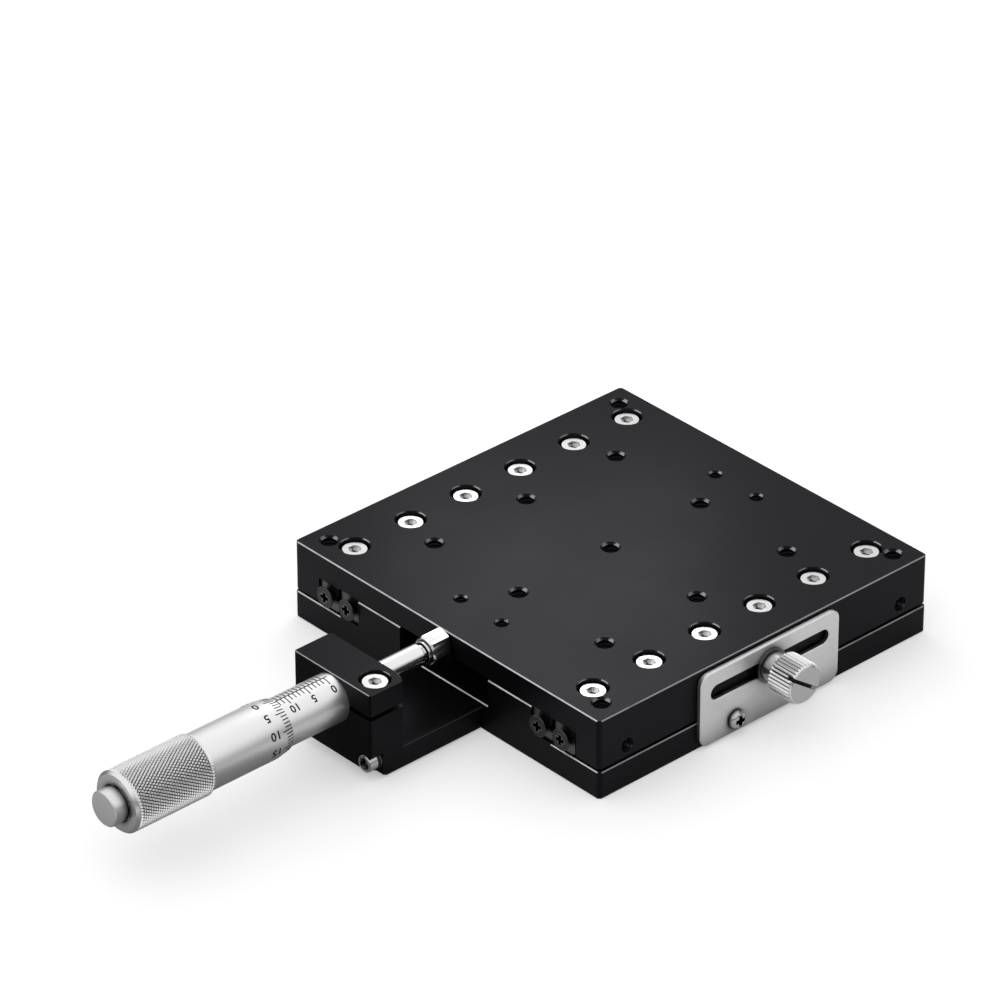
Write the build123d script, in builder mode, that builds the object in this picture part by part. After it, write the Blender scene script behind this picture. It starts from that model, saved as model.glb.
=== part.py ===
from build123d import *

import os
from math import sqrt

# Micrometer positioning stage, 90 x 90 mm with 25 mm of travel, in millimetres.
# A base plate carries two crossed-roller ways, a table runs on them, and a micrometer head in
# a clamp bracket pushes the table against two springs. A thumb screw locks it to a slotted plate.
# Origin: centre of the base's bottom face. +X: along the travel, away from the micrometer.
# +Y: left when looking along +X. +Z: up. The table stands at mid travel.

# Driving dimensions: plates
stage_length = 90.0
base_width = 90.0
base_thickness = 6.2
table_thickness = 5.55
wall_thickness = 7.3
wall_gap = 0.5
side_relief = 0.2
channel_width = 26.0
ridge_clearance = 0.15
corner_radius = 1.0
edge_chamfer = 0.2
travel = 25.0

# Driving dimensions: crossed-roller ways
pair_width = 12.0
race_gap = 1.0
rail_height = 6.0
rail_recess = 0.5
rail_chamfer = 0.4
seat_relief = 0.25
preload_gap = 0.75
roller_diameter = 2.0
roller_pitch = 4.0
roller_clearance = 0.02
roller_end_clearance = 0.1
groove_relief_width = 0.5
groove_relief_depth = 0.3
cage_thickness = 0.5
cage_height = 4.6
cage_margin = 1.0
cage_edge = 3.0
window_clearance = 0.1

# Driving dimensions: hole patterns
screw_pitch = 15.0
rail_hole_inset = 2.5
screw_end_margin = 6.0
grid_pitch = 25.0
grid_hole_radius = 1.65
grid_rim_radius = 2.1
small_hole_length = 70.0
small_hole_width = 12.0
small_hole_radius = 1.25
small_rim_radius = 1.6
corner_inset = 5.0
corner_hole_depth = 6.0
base_hole_radius = 2.25
base_hole_head_radius = 3.75
base_hole_head_depth = 4.3

# Driving dimensions: socket cap screws, as thread, head and hexagon
m3_radius = 1.5
m3_head_radius = 2.75
m3_head_height = 3.0
m3_socket = 2.5
m2_radius = 1.0
m2_head_radius = 1.9
m2_head_height = 2.0
thread_clearance = 0.05
shank_clearance = 0.2
head_pocket_radius = 3.15
head_depth_below_face = 0.7
pocket_rim = 0.2
table_screw_reach = 5.0
base_screw_length = 7.0

# Driving dimensions: countersunk rail end screws and preload screws
end_screw_radius = 1.25
end_screw_head_radius = 2.35
end_screw_head_height = 1.5
end_screw_rim = 0.3
end_screw_edge = 0.15
end_screw_length = 4.0
end_screw_y = 2.75
cross_width = 0.9
cross_span = 2.4
cross_depth = 0.9
set_screw_radius = 1.5
set_screw_spacing = 25.0
set_screw_recess = 1.2
set_screw_socket = 1.5

# Driving dimensions: micrometer head
axis_below_top = 3.0
spindle_radius = 2.375
spindle_clearance = 0.05
stem_radius = 4.0
sleeve_radius = 5.125
sleeve_zero_offset = 2.0
sleeve_tail = 3.0
nut_radius = 4.7
nut_length = 2.5
nut_slot = 1.0
thimble_clearance = 0.08
thimble_radius = 6.0
thimble_edge_radius = 5.35
thimble_bevel = 2.5
thimble_plain = 21.2
knurl_radius = 6.5
knurl_length = 18.3
knurl_chamfer = 0.6
knurl_run_out = 0.9
end_clearance = 0.5
cap_radius = 3.73
cap_length = 3.15
cap_chamfer = 0.25
tail_radius = 1.5
tail_length = 2.0

# Driving dimensions: anvil
hex_width = 5.5
hex_turn = 20.0
hex_length = 5.0
hex_edge = 0.25
anvil_collar_radius = 1.9
anvil_collar = 0.6
anvil_nose_radius = 1.5
anvil_nose = 1.0
anvil_gap = 0.05
anvil_shank = 6.0

# Driving dimensions: clamp bracket
bracket_width = 22.4
arm_length = 19.4
block_depth = 9.6
block_rise = 5.5
arm_bottom = 0.5
arm_thickness = 4.7
block_edge = 0.3
near_corner_sweep = 4.6
near_corner_drop = 1.2
bracket_edge = 0.15
toe_height = 2.0
toe_length = 4.0
clamp_slit = 1.0
clamp_screw_inset = 4.0
clamp_screw_length = 10.0
clamp_head_recess = 0.5
foot_screw_inset = 2.0
foot_screw_height = 3.9
foot_pocket_radius = 2.1
foot_socket = 2.4
foot_washer_radius = 1.9
foot_washer_thickness = 0.4
spring_washer_radius = 1.65
spring_washer_thickness = 0.75
spring_washer_gap = 0.3
foot_screw_grip = 6.0

# Driving dimensions: lock plate and thumb screw
plate_length = 38.0
plate_height = 16.6
plate_thickness = 1.0
plate_bottom = 0.5
plate_radius = 2.3
plate_edge = 0.15
slot_width = 3.3
slot_play = 4.0
slot_below_top = 5.95
plate_screw_x = 9.4
plate_screw_height = 3.7
pan_head_radius = 2.1
pan_head_height = 1.5
pan_head_round = 1.2
plate_screw_length = 5.0
washer_radius = 3.8
washer_thickness = 0.5
slide_gap = 0.05
neck_radius = 3.2
neck_length = 3.2
head_radius = 4.5
head_length = 6.1
head_chamfer = 0.7
rib_count = 34
rib_depth = 0.3
driver_slot_width = 0.8
driver_slot_depth = 1.6
driver_slot_angle = 36.0
lock_screw_grip = 5.0

# Driving dimensions: return springs
spring_y = 8.0
post_radius = 1.25
post_neck_radius = 0.9
post_seat = 2.0
post_clearance = 0.25
base_post_inset = 9.0
table_post_inset = 18.0
spring_radius = 2.1
spring_wire = 0.5
hook_radius = 1.5

# Levels and faces that follow from them
half_length = stage_length / 2
table_width = base_width - 2 * side_relief
base_seat_z = base_thickness + seat_relief
table_seat_z = base_seat_z + rail_height
table_under_z = table_seat_z + seat_relief
table_top_z = table_seat_z + table_thickness
wall_bottom_z = base_thickness + wall_gap
ridge_top_z = table_seat_z - ridge_clearance
way_z = base_seat_z + rail_height / 2

# Bracket's screws, measured from the middle plane
clamp_screw_y = bracket_width / 2 - clamp_screw_inset
foot_screw_y = bracket_width / 2 - foot_screw_inset
foot_places = ((-foot_screw_y, foot_screw_height), (foot_screw_y, foot_screw_height))
foot_washers = foot_washer_thickness + spring_washer_thickness

# Ways, measured from the middle plane
outer_datum = table_width / 2 - wall_thickness
inner_datum = outer_datum - pair_width
rail_width = (pair_width - race_gap) / 2
race_y = (outer_datum + inner_datum) / 2
rail_length = stage_length - 2 * rail_recess
rail_end = rail_length / 2
screw_count = int((rail_length - 2 * screw_end_margin) // screw_pitch) + 1
outer_hole_y = outer_datum - rail_hole_inset
inner_hole_y = inner_datum + rail_hole_inset
corner_x = half_length - corner_inset
corner_y = base_width / 2 - corner_inset
cage_length = rail_length - travel / 2 - 2 * cage_margin
roller_count = int((cage_length - 2 * cage_edge) // roller_pitch) + 1

# Micrometer, measured along X
axis_z = table_top_z - axis_below_top
table_end = -half_length
anvil_face = table_end - hex_length - anvil_collar - anvil_nose
spindle_tip = anvil_face - anvil_gap
block_back = -half_length - arm_length
block_front = block_back - block_depth
scale_zero = block_front - sleeve_zero_offset
thimble_edge = scale_zero - travel / 2
sleeve_end = scale_zero - travel - sleeve_tail
nut_end = sleeve_end - nut_length
cavity_end = nut_end - travel / 2 - end_clearance
knurl_front = thimble_edge - thimble_plain
thimble_end = min(knurl_front - knurl_length, cavity_end - tail_length)
cap_end = thimble_end - cap_length
cavity_radius = sleeve_radius + thimble_clearance
spindle_bore = spindle_radius + spindle_clearance

# Lock plate, measured from the middle plane
side_face = base_width / 2
plate_face = side_face + plate_thickness
slot_z = table_top_z - slot_below_top
slot_length = travel + slot_width + slot_play + thread_clearance
washer_back = plate_face + slide_gap

os.makedirs("parts", exist_ok=True)


def finish(builder, name):
    """Labels a finished piece and writes it to its own file."""
    builder.part.label = name
    export_step(builder.part, f"parts/{name}.step")


def cap_screw(radius, length, head_radius_, head_height_, socket):
    """A socket cap screw with its head's seat at z = 0 and its head upwards."""
    with BuildPart() as screw:
        Cylinder(radius, length, align=(Align.CENTER, Align.CENTER, Align.MAX))
        Cylinder(head_radius_, head_height_, align=(Align.CENTER, Align.CENTER, Align.MIN))
        chamfer(screw.edges().group_by(Axis.Z)[-1], head_radius_ / 12)
        with BuildSketch(Plane.XY.offset(head_height_)):
            RegularPolygon(socket / 2, 6, major_radius=False)
        extrude(amount=-head_height_ / 2, mode=Mode.SUBTRACT)
    return screw.part


def cross_recess(width, span):
    """The arms of a cross recess, as a flat outline."""
    Rectangle(span, width)
    Rectangle(width, span)


def end_screw():
    """A countersunk screw whose cone starts at z = 0, with its flat head upwards."""
    with BuildPart() as screw:
        Cylinder(end_screw_radius, end_screw_length, align=(Align.CENTER, Align.CENTER, Align.MAX))
        cone_height = end_screw_head_height - end_screw_rim
        Cone(end_screw_radius, end_screw_head_radius, cone_height,
             align=(Align.CENTER, Align.CENTER, Align.MIN))
        with BuildSketch(Plane.XY.offset(cone_height)):
            Circle(end_screw_head_radius)
        extrude(amount=end_screw_rim)
        chamfer(screw.edges().group_by(Axis.Z)[-1], end_screw_edge)
        with BuildSketch(Plane.XY.offset(end_screw_head_height)):
            cross_recess(cross_width, cross_span)
        extrude(amount=-cross_depth, mode=Mode.SUBTRACT)
    return screw.part


# Base plate: flat plate with two ridges and two raised rail seats
with BuildPart() as base_plate:
    with BuildSketch():
        Rectangle(stage_length, base_width)
        fillet(vertices(), corner_radius)
    extrude(amount=base_thickness)
    flat_faces = faces().filter_by(Axis.Z)
    chamfer(flat_faces.sort_by(Axis.Z)[0].edges(), edge_chamfer)
    chamfer(flat_faces.sort_by(Axis.Z)[-1].edges(), edge_chamfer)
    foot_z = base_thickness - edge_chamfer
    ridge_width = inner_datum - channel_width / 2
    ridge_y = (inner_datum + channel_width / 2) / 2
    seat_y = inner_datum + rail_width / 2
    with BuildSketch(Plane.YZ.offset(-half_length)):
        with Locations((-ridge_y, foot_z), (ridge_y, foot_z)):
            Rectangle(ridge_width, ridge_top_z - foot_z, align=(Align.CENTER, Align.MIN))
        with Locations((-seat_y, foot_z), (seat_y, foot_z)):
            Rectangle(rail_width, base_seat_z - foot_z, align=(Align.CENTER, Align.MIN))
    extrude(amount=stage_length)
    ridge_tops = faces().filter_by(Axis.Z).sort_by(Axis.Z)[-2:]
    chamfer(ridge_tops.edges().filter_by(Axis.Y), edge_chamfer)
    # Mounting holes, bare when the table is at either end of its travel
    with Locations(Plane.XY.offset(base_thickness)):
        with GridLocations(2 * corner_x, 2 * corner_y, 2, 2):
            CounterBoreHole(base_hole_radius, base_hole_head_radius, base_hole_head_depth)
    # Rail screws, entered from below
    with Locations(Plane.XY.rotated((180, 0, 0))):
        with GridLocations(screw_pitch, 2 * inner_hole_y, screw_count, 2):
            CounterBoreHole(m3_radius + shank_clearance, head_pocket_radius,
                            m3_head_height + head_depth_below_face / 2)
    # Holes for the spring posts, the bracket's screws and the lock plate's screws
    with BuildSketch(Plane.XY.offset(base_thickness)):
        with Locations((-half_length + base_post_inset, -spring_y),
                       (-half_length + base_post_inset, spring_y)):
            Circle(post_radius)
    extrude(amount=-post_seat, mode=Mode.SUBTRACT)
    with BuildSketch(Plane.YZ.offset(-half_length)):
        with Locations(*foot_places):
            Circle(m2_radius + thread_clearance)
    extrude(amount=foot_screw_grip + end_clearance, mode=Mode.SUBTRACT)
    with BuildSketch(Plane.XZ.offset(side_face)):
        with Locations((-plate_screw_x, plate_screw_height), (plate_screw_x, plate_screw_height)):
            Circle(m2_radius + thread_clearance)
    extrude(amount=-plate_screw_length, mode=Mode.SUBTRACT)
finish(base_plate, "base_plate")


# Table: a plate with two side walls that hang over the ways
with BuildPart() as table_top:
    with BuildSketch(Plane.XY.offset(wall_bottom_z)):
        Rectangle(stage_length, table_width)
        fillet(vertices(), corner_radius)
    extrude(amount=table_top_z - wall_bottom_z)
    flat_faces = faces().filter_by(Axis.Z)
    chamfer(flat_faces.sort_by(Axis.Z)[0].edges(), edge_chamfer)
    chamfer(flat_faces.sort_by(Axis.Z)[-1].edges(), edge_chamfer)
    # The tunnel for the ways, wider on the side of the preload screws
    near_wall = -outer_datum - preload_gap
    with BuildSketch(Plane.YZ.offset(-half_length)):
        with Locations((near_wall, wall_bottom_z)):
            Rectangle(outer_datum - near_wall, table_seat_z - wall_bottom_z,
                      align=(Align.MIN, Align.MIN))
        with Locations((0, wall_bottom_z)):
            Rectangle(2 * race_y, table_under_z - wall_bottom_z, align=(Align.CENTER, Align.MIN))
    extrude(amount=stage_length, mode=Mode.SUBTRACT)
    # Counterbored rail screws
    with Locations(Plane.XY.offset(table_top_z)):
        with GridLocations(screw_pitch, 2 * outer_hole_y, screw_count, 2):
            CounterBoreHole(m3_radius + shank_clearance, head_pocket_radius,
                            m3_head_height + head_depth_below_face,
                            depth=table_thickness + seat_relief)
    rims = edges().filter_by(GeomType.CIRCLE).group_by(Axis.Z)[-1]
    chamfer(rims.filter_by(lambda rim: rim.radius == head_pocket_radius), pocket_rim)
    with Locations(Plane.XY.offset(table_top_z)):
        # Tapped holes with chamfered rims
        with GridLocations(grid_pitch, grid_pitch, 3, 3):
            CounterSinkHole(grid_hole_radius, grid_rim_radius, counter_sink_angle=90)
        with GridLocations(small_hole_length, small_hole_width, 2, 2):
            CounterSinkHole(small_hole_radius, small_rim_radius, counter_sink_angle=90)
        with GridLocations(2 * corner_x, 2 * corner_y, 2, 2):
            CounterSinkHole(grid_hole_radius, grid_rim_radius, depth=corner_hole_depth,
                            counter_sink_angle=90)
    # Preload screws and the lock screw in the near wall
    with BuildSketch(Plane.XZ.offset(table_width / 2)):
        with GridLocations(set_screw_spacing, 1, 4, 1) as set_row:
            set_points = [(place.position.X, way_z) for place in set_row.locations]
        with Locations(*set_points):
            Circle(set_screw_radius + thread_clearance)
        with Locations((0, slot_z)):
            Circle(m3_radius + thread_clearance)
    extrude(amount=-wall_thickness, mode=Mode.SUBTRACT)
    # Anvil's tapped hole and the spring posts' holes
    with BuildSketch(Plane.YZ.offset(-half_length)):
        with Locations((0, axis_z)):
            Circle(m3_radius + thread_clearance)
    extrude(amount=anvil_shank + end_clearance, mode=Mode.SUBTRACT)
    with BuildSketch(Plane.XY.offset(table_under_z)):
        with Locations((half_length - table_post_inset, -spring_y),
                       (half_length - table_post_inset, spring_y)):
            Circle(post_radius)
    extrude(amount=post_seat, mode=Mode.SUBTRACT)
finish(table_top, "table_top")


def way_rail(name, datum, facing):
    """A V rail whose mounting face is at y = datum and whose race faces +Y or -Y."""
    race_face = datum + facing * rail_width
    race_centre = race_face + facing * race_gap / 2
    half_diagonal = roller_diameter / sqrt(2)
    apex = race_centre - facing * half_diagonal
    mouth = half_diagonal - race_gap / 2
    with BuildPart() as rail:
        with BuildSketch(Plane.YZ.offset(-rail_end)):
            with Locations((datum + facing * rail_width / 2, way_z)):
                Rectangle(rail_width, rail_height)
            chamfer(vertices(), rail_chamfer)
            with BuildLine():
                Polyline((race_face, way_z + mouth), (apex, way_z), (race_face, way_z - mouth),
                         close=True)
            make_face(mode=Mode.SUBTRACT)
            relief_y = apex - facing * (groove_relief_depth - groove_relief_width / 2) / 2
            with Locations((relief_y, way_z)):
                Rectangle(groove_relief_depth + groove_relief_width / 2, groove_relief_width,
                          mode=Mode.SUBTRACT)
        extrude(amount=rail_length)
        with Locations((0, datum + facing * rail_hole_inset, way_z + rail_height / 2)):
            with GridLocations(screw_pitch, 1, screw_count, 1):
                Hole(m3_radius + thread_clearance)
        with Locations((0, datum + facing * end_screw_y, way_z)):
            with Locations(Plane(origin=(-rail_end, 0, 0), z_dir=(-1, 0, 0)),
                           Plane(origin=(rail_end, 0, 0), z_dir=(1, 0, 0))):
                Hole(end_screw_radius + thread_clearance, depth=end_screw_length)
    finish(rail, name)


# Ways: an inner rail on the base and an outer rail on the table, on each side
way_rail("inner_rail_left", inner_datum, 1)
way_rail("outer_rail_left", outer_datum, -1)
way_rail("inner_rail_right", -inner_datum, -1)
way_rail("outer_rail_right", -outer_datum, 1)


def cage(name, side):
    """The flat cage of one way, with a window for each roller."""
    with BuildPart() as strip:
        with BuildSketch(Plane.XZ.offset(-side * race_y)):
            with Locations((0, way_z)):
                Rectangle(cage_length, cage_height)
                window_height = roller_diameter * sqrt(2) + 2 * window_clearance
                with GridLocations(roller_pitch, 1, roller_count, 1):
                    Rectangle(roller_diameter + 2 * window_clearance, window_height,
                              mode=Mode.SUBTRACT)
        extrude(amount=cage_thickness / 2, both=True)
    finish(strip, name)


def rollers(name, side):
    """Crossed rollers of one way, each at a right angle to the next."""
    with BuildPart() as row:
        for i in range(roller_count):
            x = (i - (roller_count - 1) / 2) * roller_pitch
            tilt = 1 if i % 2 else -1
            with BuildSketch(Plane(origin=(x, side * race_y, way_z), z_dir=(0, 1, tilt))):
                Circle(roller_diameter / 2 - roller_clearance)
        extrude(amount=roller_diameter / 2 - roller_end_clearance, both=True)
    finish(row, name)


for side_name, side in (("left", 1), ("right", -1)):
    cage(f"cage_{side_name}", side)
    rollers(f"rollers_{side_name}", side)


# Screws through the table into the outer rails
table_head_seat = table_top_z - head_depth_below_face - m3_head_height
m3_table_screw = cap_screw(m3_radius, table_head_seat - table_seat_z + table_screw_reach,
                           m3_head_radius, m3_head_height, m3_socket)
with BuildPart() as table_rail_screws:
    with Locations(Plane.XY.offset(table_head_seat)):
        with GridLocations(screw_pitch, 2 * outer_hole_y, screw_count, 2):
            add(m3_table_screw)
finish(table_rail_screws, "table_rail_screws")

# Screws through the base into the inner rails
base_head_seat = m3_head_height + head_depth_below_face / 2
m3_base_screw = cap_screw(m3_radius, base_screw_length, m3_head_radius, m3_head_height, m3_socket)
with BuildPart() as base_rail_screws:
    with Locations(Plane(origin=(0, 0, base_head_seat), z_dir=(0, 0, -1))):
        with GridLocations(screw_pitch, 2 * inner_hole_y, screw_count, 2):
            add(m3_base_screw)
finish(base_rail_screws, "base_rail_screws")


def rail_end_screws(name, datum, facing):
    """The countersunk screws in both ends of a pair of mirrored rails."""
    screw = end_screw()
    with BuildPart() as row:
        for mirrored in (-1, 1):
            y = mirrored * (datum + facing * end_screw_y)
            with Locations(Plane(origin=(-rail_end, y, way_z), z_dir=(-1, 0, 0)),
                           Plane(origin=(rail_end, y, way_z), z_dir=(1, 0, 0))):
                add(screw)
    finish(row, name)


rail_end_screws("inner_rail_end_screws", inner_datum, 1)
rail_end_screws("outer_rail_end_screws", outer_datum, -1)


# Preload screws: sunk in the near wall, their tips on the outer rail
with BuildPart() as preload_set_screws:
    tip = -outer_datum
    set_screw_length = table_width / 2 - set_screw_recess - outer_datum
    for x, z in set_points:
        with Locations(Plane(origin=(x, tip, z), z_dir=(0, -1, 0))):
            Cylinder(set_screw_radius, set_screw_length,
                     align=(Align.CENTER, Align.CENTER, Align.MIN))
    with BuildSketch(Plane.XZ.offset(outer_datum + set_screw_length)):
        with Locations(*set_points):
            RegularPolygon(set_screw_socket / 2, 6, major_radius=False)
    extrude(amount=-set_screw_length / 3, mode=Mode.SUBTRACT)
finish(preload_set_screws, "preload_set_screws")


# Return springs: posts in the base and the table, a hooked spring from one to the other
base_post_x = -half_length + base_post_inset
table_post_x = half_length - table_post_inset
spring_z = (base_thickness + table_under_z) / 2


def spring_post(seat_z, upward):
    """A turned post with a neck for the spring's hook, along Z from its blind hole."""
    bottom = seat_z - upward * post_seat
    free_end = (table_under_z if upward > 0 else base_thickness) - upward * post_clearance
    neck = spring_wire / 2 + spring_wire
    with BuildPart() as post:
        with BuildSketch(Plane.XZ):
            with BuildLine():
                Polyline((0, bottom), (post_radius, bottom),
                         (post_radius, spring_z - upward * neck),
                         (post_neck_radius, spring_z - upward * spring_wire),
                         (post_neck_radius, spring_z + upward * spring_wire),
                         (post_radius, spring_z + upward * neck), (post_radius, free_end),
                         (0, free_end), close=True)
            make_face()
        revolve(axis=Axis.Z)
    return post.part


with BuildPart() as base_spring_posts:
    with Locations((base_post_x, -spring_y), (base_post_x, spring_y)):
        add(spring_post(base_thickness, 1))
finish(base_spring_posts, "base_spring_posts")

with BuildPart() as table_spring_posts:
    with Locations((table_post_x, -spring_y), (table_post_x, spring_y)):
        add(spring_post(table_under_z, -1))
finish(table_spring_posts, "table_spring_posts")

with BuildPart() as return_springs:
    for y in (-spring_y, spring_y):
        coil_start = base_post_x + hook_radius
        coil_end = table_post_x - hook_radius
        with BuildSketch(Plane(origin=(coil_start, y, spring_z), z_dir=(1, 0, 0))):
            Circle(spring_radius)
            Circle(spring_radius - spring_wire, mode=Mode.SUBTRACT)
        extrude(amount=coil_end - coil_start)
        for x, inward in ((base_post_x, 1), (table_post_x, -1)):
            with Locations((x, y, spring_z)):
                Torus(hook_radius, spring_wire / 2)
            with Locations((x + inward * hook_radius, y, spring_z)):
                Box(spring_wire, 2 * spring_radius - spring_wire, spring_wire)
finish(return_springs, "return_springs")


# Bracket: a clamp block on an arm against the base's end
with BuildPart() as bracket:
    block_top = axis_z + block_rise
    block_centre = (block_front + block_back) / 2
    block_side = bracket_width / 2
    with BuildSketch(Plane.XY.offset(arm_bottom)):
        with BuildLine():
            sweep_start = (block_back, near_corner_sweep - block_side)
            sweep_end = (block_back - near_corner_drop, -block_side)
            Polyline(sweep_start, (block_back, block_side), (block_front, block_side),
                     (block_front, -block_side), sweep_end)
            TangentArc(sweep_start, sweep_end, tangent=(0, -1))
        make_face()
        chamfer(vertices().group_by(Axis.X)[0], block_edge)
        chamfer(vertices().group_by(Axis.X)[-1].sort_by(Axis.Y)[-1], block_edge)
    extrude(amount=block_top - arm_bottom)
    chamfer(edges().group_by(Axis.Z)[-1], bracket_edge)
    with BuildSketch(Plane.YZ.offset(block_centre)):
        with Locations((0, arm_bottom)):
            Rectangle(bracket_width, arm_thickness, align=(Align.CENTER, Align.MIN))
        chamfer(vertices().group_by(Axis.Y)[-1], bracket_edge)
    extrude(amount=block_depth / 2 + arm_length)
    # The block's toe is cut away under its front edge
    with BuildSketch(Plane.XZ.offset(bracket_width / 2)):
        with BuildLine():
            Polyline((block_front, arm_bottom), (block_front + toe_length, arm_bottom),
                     (block_front, arm_bottom + toe_height), close=True)
        make_face()
    extrude(amount=-bracket_width, mode=Mode.SUBTRACT)
    # Stem bore, slit and clamp screw
    with BuildSketch(Plane.YZ.offset(block_front)):
        with Locations((0, axis_z)):
            Circle(stem_radius)
            Rectangle(bracket_width, clamp_slit, align=(Align.MAX, Align.CENTER))
    extrude(amount=block_depth, mode=Mode.SUBTRACT)
    with Locations((block_centre, -clamp_screw_y, block_top)):
        CounterBoreHole(m3_radius + thread_clearance, head_pocket_radius,
                        m3_head_height + clamp_head_recess,
                        depth=m3_head_height + clamp_head_recess + clamp_screw_length)
    rims = edges().filter_by(GeomType.CIRCLE).group_by(Axis.Z)[-1]
    chamfer(rims.filter_by(lambda rim: rim.radius == head_pocket_radius), bracket_edge)
    # Notches, open at the side and below, and holes for the long screws into the base
    notch_top = foot_screw_height + foot_pocket_radius
    with BuildSketch(Plane.YZ.offset(block_front)):
        with Locations(*foot_places):
            Circle(foot_pocket_radius)
        with Locations((-foot_screw_y, notch_top)):
            Rectangle(foot_screw_inset, notch_top, align=(Align.MAX, Align.MAX))
        with Locations((foot_screw_y, notch_top)):
            Rectangle(foot_screw_inset, notch_top, align=(Align.MIN, Align.MAX))
    extrude(amount=m2_head_height + foot_washers, mode=Mode.SUBTRACT)
    with BuildSketch(Plane.YZ.offset(block_front)):
        with Locations(*foot_places):
            Circle(m2_radius + thread_clearance)
    extrude(amount=block_depth + arm_length, mode=Mode.SUBTRACT)
finish(bracket, "bracket")

head_seat = block_front + m2_head_height
m2_foot_screw = cap_screw(m2_radius, -half_length - head_seat + foot_screw_grip,
                          m2_head_radius, m2_head_height, foot_socket)
with BuildPart() as bracket_screws:
    with Locations(Plane(origin=(head_seat, -foot_screw_y, foot_screw_height), z_dir=(-1, 0, 0)),
                   Plane(origin=(head_seat, foot_screw_y, foot_screw_height), z_dir=(-1, 0, 0))):
        add(m2_foot_screw)
finish(bracket_screws, "bracket_screws")

with BuildPart() as bracket_spring_washers:
    with BuildSketch(Plane.YZ.offset(head_seat)):
        with Locations(*foot_places):
            Circle(spring_washer_radius)
            Circle(m2_radius + thread_clearance, mode=Mode.SUBTRACT)
            Rectangle(spring_washer_radius, spring_washer_gap, align=(Align.MIN, Align.CENTER),
                      mode=Mode.SUBTRACT)
    extrude(amount=spring_washer_thickness)
finish(bracket_spring_washers, "bracket_spring_washers")

with BuildPart() as bracket_plain_washers:
    with BuildSketch(Plane.YZ.offset(head_seat + spring_washer_thickness)):
        with Locations(*foot_places):
            Circle(foot_washer_radius)
            Circle(m2_radius + thread_clearance, mode=Mode.SUBTRACT)
    extrude(amount=foot_washer_thickness)
finish(bracket_plain_washers, "bracket_plain_washers")

with BuildPart() as clamp_screw:
    with Locations((block_centre, -clamp_screw_y,
                    block_top - clamp_head_recess - m3_head_height)):
        add(cap_screw(m3_radius, clamp_screw_length, m3_head_radius, m3_head_height, m3_socket))
finish(clamp_screw, "clamp_screw")


# Micrometer head: turned pieces on the spindle's axis, outlines as (distance along X, radius)
def turned(name, *outline):
    """A piece turned about the spindle's axis from its outline."""
    with BuildPart() as piece:
        with BuildSketch(Plane.XZ):
            with BuildLine():
                Polyline(*[(x, axis_z + r) for x, r in outline], close=True)
            make_face()
        revolve(axis=Axis((0, 0, axis_z), (1, 0, 0)))
    return piece


stem_chamfer = stem_radius / 10
micrometer_body = turned(
    "micrometer_body",
    (block_back, spindle_bore),
    (block_back, stem_radius - stem_chamfer),
    (block_back - stem_chamfer, stem_radius),
    (nut_end, stem_radius),
    (nut_end, spindle_bore),
)
finish(micrometer_body, "micrometer_body")

graduated_sleeve = turned(
    "graduated_sleeve",
    (block_front, stem_radius),
    (block_front, sleeve_radius),
    (sleeve_end, sleeve_radius),
    (sleeve_end, stem_radius),
)
finish(graduated_sleeve, "graduated_sleeve")

with BuildPart() as adjusting_nut:
    with BuildSketch(Plane.YZ.offset(nut_end)):
        with Locations((0, axis_z)):
            Circle(nut_radius)
            Circle(stem_radius, mode=Mode.SUBTRACT)
            Rectangle(2 * (nut_radius - stem_radius) + nut_slot, nut_slot, mode=Mode.SUBTRACT)
    extrude(amount=nut_length)
    with BuildSketch(Plane.YZ.offset(nut_end)):
        with Locations((0, axis_z)):
            Rectangle(2 * nut_radius, nut_slot)
    extrude(amount=nut_length / 3, mode=Mode.SUBTRACT)
finish(adjusting_nut, "adjusting_nut")

tip_chamfer = spindle_radius / 8
tail_end = thimble_end - tail_length
spindle = turned(
    "spindle",
    (spindle_tip, 0),
    (spindle_tip, spindle_radius - tip_chamfer),
    (spindle_tip - tip_chamfer, spindle_radius),
    (thimble_end, spindle_radius),
    (thimble_end, tail_radius),
    (tail_end, tail_radius),
    (tail_end, 0),
)
finish(spindle, "spindle")

thimble = turned(
    "thimble",
    (thimble_edge, cavity_radius),
    (thimble_edge, thimble_edge_radius),
    (thimble_edge - thimble_bevel, thimble_radius),
    (knurl_front, thimble_radius),
    (knurl_front, knurl_radius - knurl_chamfer / 2),
    (knurl_front - knurl_chamfer / 2, knurl_radius),
    (thimble_end + knurl_run_out, knurl_radius),
    (thimble_end, knurl_radius - knurl_chamfer),
    (thimble_end, spindle_bore),
    (cavity_end, spindle_bore),
    (cavity_end, cavity_radius),
)
finish(thimble, "thimble")

thimble_cap = turned(
    "thimble_cap",
    (thimble_end, tail_radius + spindle_clearance),
    (thimble_end, cap_radius),
    (cap_end + cap_chamfer, cap_radius),
    (cap_end, cap_radius - cap_chamfer),
    (cap_end, 0),
    (tail_end - spindle_clearance, 0),
    (tail_end - spindle_clearance, tail_radius + spindle_clearance),
)
finish(thimble_cap, "thimble_cap")

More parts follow.
